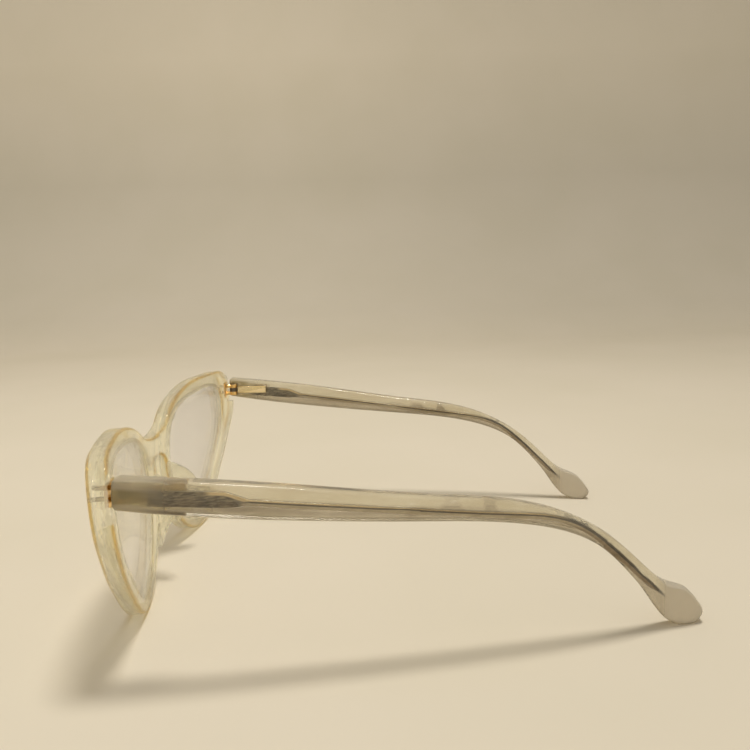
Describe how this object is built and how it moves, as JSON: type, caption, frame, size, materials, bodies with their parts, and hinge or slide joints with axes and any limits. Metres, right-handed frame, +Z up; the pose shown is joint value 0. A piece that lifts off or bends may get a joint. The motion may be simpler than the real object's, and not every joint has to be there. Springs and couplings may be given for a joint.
{
  "type": "eyeglasses frame",
  "caption": "Cat-eye acetate spectacles: clear front with end pieces, lenses in grooves, nose pads, and translucent temples on sprung folding hinges.",
  "frame": {"origin": "middle of the bounding box, at its bottom, with the frame open and lying on its rims and temple tips", "axes": "+X towards the wearer's left side, +Y back along the temples, +Z up"},
  "size_m": [0.1354, 0.142, 0.0482],
  "materials": {
    "clear_acetate": "gloss",
    "milky_acetate": "satin",
    "lens": "clear",
    "dark_metal": "plated",
    "spring_steel": "drawn wire",
    "gilt_metal": "polished",
    "core_metal": "rolled"
  },
  "bodies": {
    "front_unit": {"front": "clear_acetate", "left_nose_pad": "clear_acetate", "right_nose_pad": "clear_acetate", "left_lens": "lens", "right_lens": "lens", "left_front_hinge": "dark_metal", "right_front_hinge": "dark_metal", "left_hinge_screw": "dark_metal", "right_hinge_screw": "dark_metal"},
    "left_slider_unit": {"left_slider": "dark_metal", "left_spring_stop": "dark_metal"},
    "right_slider_unit": {"right_slider": "dark_metal", "right_spring_stop": "dark_metal"},
    "left_temple_unit": {"left_temple": "milky_acetate", "left_core_wire": "core_metal", "left_spring_box": "gilt_metal", "left_coil_spring": "spring_steel"},
    "right_temple_unit": {"right_temple": "milky_acetate", "right_core_wire": "core_metal", "right_spring_box": "gilt_metal", "right_coil_spring": "spring_steel"}
  },
  "joints": [
    {"name": "left_fold", "type": "hinge", "parent": "front_unit", "child": "left_slider_unit", "pos_m": [0.0619, -0.05541, 0.04046], "axis": [0, 0, 1], "range_deg": [-8, 84]},
    {"name": "right_fold", "type": "hinge", "parent": "front_unit", "child": "right_slider_unit", "pos_m": [-0.0619, -0.05541, 0.04046], "axis": [0, 0, -1], "range_deg": [-8, 78]},
    {"name": "left_spring", "type": "slide", "parent": "left_slider_unit", "child": "left_temple_unit", "axis": [-0.0884, 0.9961, 0], "range_m": [0, 0.0012], "stiffness_N_per_m": 300, "springref_m": -0.0005, "deforming": ["left_coil_spring"]},
    {"name": "right_spring", "type": "slide", "parent": "right_slider_unit", "child": "right_temple_unit", "axis": [0.0884, 0.9961, 0], "range_m": [0, 0.0012], "stiffness_N_per_m": 300, "springref_m": -0.0005, "deforming": ["right_coil_spring"]}
  ]
}
